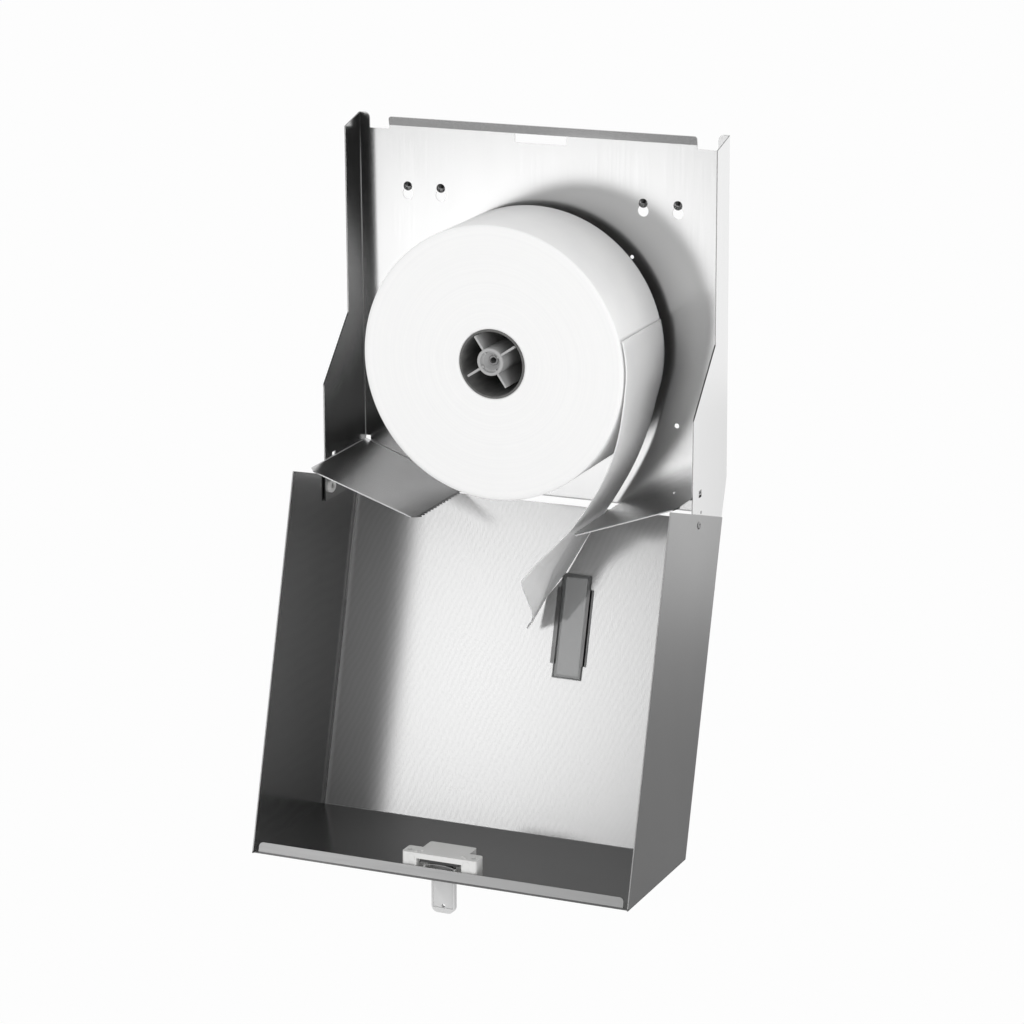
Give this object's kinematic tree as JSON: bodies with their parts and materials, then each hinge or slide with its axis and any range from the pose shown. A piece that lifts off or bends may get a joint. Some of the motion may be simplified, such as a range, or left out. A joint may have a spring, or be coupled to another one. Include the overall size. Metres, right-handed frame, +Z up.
{
  "type": "jumbo toilet roll dispenser",
  "caption": "Steel wall dispenser for a jumbo toilet roll, hinged cover hanging open: finned spindle, roll with a loose end, toothed tear plates, window insert, key lock.",
  "frame": {"origin": "on the wall plane, at the back of the plate, midway between the four wall screws on their line", "axes": "+X to the right seen from the room, +Y into the wall, +Z up"},
  "size_m": [0.3514, 0.2365, 0.6444],
  "materials": {
    "brushed_steel": "brushed stainless sheet",
    "fastener_steel": "bright zinc on small fasteners",
    "rail_steel": "folded strip, darker",
    "spring_steel": "polished strip",
    "grey_plastic": "moulded, satin",
    "white_plastic": "moulded, satin",
    "key_plastic": "moulded, satin",
    "tissue": "soft tissue paper, lightly embossed",
    "core_board": "wound grey card",
    "smoky_insert": "clear smoky sheet"
  },
  "bodies": {
    "root": {"back_plate": "brushed_steel", "tear_plate_left": "brushed_steel", "tear_plate_right": "brushed_steel", "tear_plate_rivets": "fastener_steel", "spindle_hub": "grey_plastic", "spindle_tube": "fastener_steel", "spindle_screws": "fastener_steel", "hinge_bush_left": "white_plastic", "hinge_bush_right": "white_plastic", "wall_screws": "fastener_steel", "paper_lead": "tissue", "paper_tail": "tissue"},
    "cover": {"cover_shell": "brushed_steel", "hinge_pin_left": "fastener_steel", "hinge_pin_right": "fastener_steel", "window_insert": "smoky_insert", "window_rail_left": "rail_steel", "window_rail_right": "rail_steel", "lock_housing": "white_plastic", "lock_screws": "fastener_steel", "lock_spring": "spring_steel"},
    "roll": {"paper_roll": "tissue", "roll_core": "core_board"},
    "latch": {"latch": "grey_plastic"},
    "key": {"key": "key_plastic"}
  },
  "joints": [
    {"name": "cover_hinge", "type": "hinge", "parent": "root", "child": "cover", "pos_m": [0, -0.0745, -0.2579], "axis": [-1, 0, 0], "range_deg": [0, 163.4], "deforming": ["paper_tail"]},
    {"name": "roll_spin", "type": "hinge", "parent": "root", "child": "roll", "pos_m": [-0.00055, -0.06055, -0.12562], "axis": [0, 1, 0], "continuous": true},
    {"name": "key_slide", "type": "slide", "parent": "cover", "child": "key", "axis": [0, -0.0227, -0.9997], "range_m": [0, 0.014]},
    {"name": "latch_slide", "type": "slide", "parent": "cover", "child": "latch", "axis": [0, -0.9997, 0.0227], "range_m": [0, 0.0044]}
  ],
  "couplings": [
    {"joint": "latch_slide", "follows": "key_slide", "ratio": 0.31}
  ]
}
